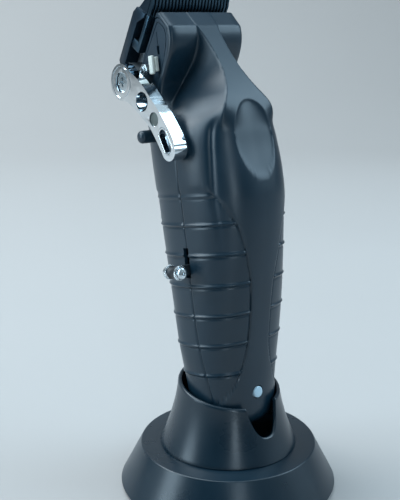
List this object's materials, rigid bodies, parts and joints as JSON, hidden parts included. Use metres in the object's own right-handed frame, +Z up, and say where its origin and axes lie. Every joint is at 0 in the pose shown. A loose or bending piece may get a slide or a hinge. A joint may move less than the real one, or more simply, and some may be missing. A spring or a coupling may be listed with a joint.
{
  "type": "hair clipper",
  "caption": "Cordless hair clipper leaning in the cup of a round charging stand, with a chrome taper lever, a side power slide and a toothed blade set on a tilted head.",
  "frame": {"origin": "middle of the stand's foot pad, on the surface it stands on", "axes": "+Z up, the clipper's thumb side faces -Y, its taper lever is on the -X side"},
  "size_m": [0.0956, 0.0976, 0.2131],
  "materials": {
    "stand_plastic": "satin moulded",
    "stand_underside": "fine moulded texture",
    "foot_rubber": "matt",
    "screw_steel": "plated",
    "cast_weight": "as cast",
    "circuit_board": "solder mask",
    "socket_steel": "plated",
    "contact_brass": "plated",
    "spring_steel": "bright wire",
    "housing_plastic": "satin moulded",
    "head_casting": "satin",
    "blade_steel": "ground",
    "nylon": "natural",
    "carrier_metal": "die cast",
    "lever_chrome": "polished",
    "cam_steel": "turned",
    "knob_chrome": "polished",
    "slider_plastic": "satin",
    "motor_steel": "drawn",
    "cell_wrap": "shrink film",
    "lens_plastic": "clear white"
  },
  "bodies": {
    "stand": {"stand_foot_pad": "foot_rubber", "stand_bottom_plate": "stand_underside", "stand_base_shell": "stand_plastic", "stand_cup": "stand_plastic", "stand_screw_1": "screw_steel", "stand_screw_2": "screw_steel", "stand_screw_3": "screw_steel", "stand_weight": "cast_weight", "stand_circuit_board": "circuit_board", "stand_power_socket": "socket_steel", "contact_block": "stand_underside", "contact_sleeve_left": "contact_brass", "contact_sleeve_right": "contact_brass", "contact_spring_left": "spring_steel", "contact_spring_right": "spring_steel"},
    "clipper": {"housing_screw_lower_left": "screw_steel", "housing_screw_lower_right": "screw_steel", "housing_screw_upper_left": "screw_steel", "housing_screw_upper_right": "screw_steel", "board_screw_1": "screw_steel", "board_screw_2": "screw_steel", "lever_screw": "screw_steel", "spring_nut": "screw_steel", "main_circuit_board": "circuit_board", "charge_socket": "socket_steel", "charge_contact_left": "contact_brass", "charge_contact_right": "contact_brass", "lever_bushing": "contact_brass", "tension_spring": "spring_steel", "front_shell": "housing_plastic", "back_shell": "housing_plastic", "lever_stop": "housing_plastic", "head_frame": "head_casting", "spring_guide": "nylon", "switch_module": "slider_plastic", "motor_end_cap": "slider_plastic", "motor_mount": "slider_plastic", "battery_cradle": "slider_plastic", "motor_can": "motor_steel", "battery_cell": "cell_wrap", "led_lens": "lens_plastic"},
    "blade_adjuster": {"blade_carrier": "carrier_metal", "fixed_blade": "blade_steel", "blade_screw_left": "screw_steel", "blade_screw_right": "screw_steel"},
    "cutter": {"cutter_blade": "blade_steel", "cutter_fork": "nylon"},
    "lever": {"taper_lever": "lever_chrome", "lever_cam": "cam_steel"},
    "rotor": {"motor_shaft": "cam_steel", "eccentric_cam": "contact_brass", "cam_bearing": "cam_steel"},
    "power_slide": {"switch_slider": "slider_plastic", "switch_collar_front": "knob_chrome", "switch_collar_rear": "knob_chrome", "switch_screw_front": "knob_chrome", "switch_screw_rear": "knob_chrome"},
    "contact_pin_left": {"contact_pin_left": "contact_brass"},
    "contact_pin_right": {"contact_pin_right": "contact_brass"}
  },
  "joints": [
    {"name": "lift_off", "type": "slide", "parent": "stand", "child": "clipper", "axis": [0, 0.1633, 0.9866], "range_m": [0, 0.07]},
    {"name": "taper_lever", "type": "hinge", "parent": "clipper", "child": "lever", "pos_m": [0, 0.03481, 0.17569], "axis": [-1, 0, 0], "range_deg": [-6, 41]},
    {"name": "blade_travel", "type": "slide", "parent": "clipper", "child": "blade_adjuster", "axis": [0, 0.4787, -0.878], "range_m": [-0.00035, 0.0022]},
    {"name": "cutter_stroke", "type": "slide", "parent": "clipper", "child": "cutter", "axis": [1, 0, 0], "range_m": [-0.0011, 0.0011]},
    {"name": "drive_spin", "type": "hinge", "parent": "clipper", "child": "rotor", "pos_m": [0, 0.01566, 0.15919], "axis": [0, 0.1633, 0.9866], "continuous": true},
    {"name": "power_switch", "type": "slide", "parent": "clipper", "child": "power_slide", "axis": [0, 0.1633, 0.9866], "range_m": [0, 0.006]},
    {"name": "contact_press_left", "type": "slide", "parent": "stand", "child": "contact_pin_left", "axis": [0, 0.1633, 0.9866], "range_m": [-0.0012, 0], "stiffness_N_per_m": 120, "springref_m": 0.001, "deforming": ["contact_spring_left"]},
    {"name": "contact_press_right", "type": "slide", "parent": "stand", "child": "contact_pin_right", "axis": [0, 0.1633, 0.9866], "range_m": [-0.0012, 0], "stiffness_N_per_m": 120, "springref_m": 0.001, "deforming": ["contact_spring_right"]}
  ],
  "couplings": [
    {"joint": "blade_travel", "follows": "taper_lever", "m_per_rad": 0.00302}
  ]
}
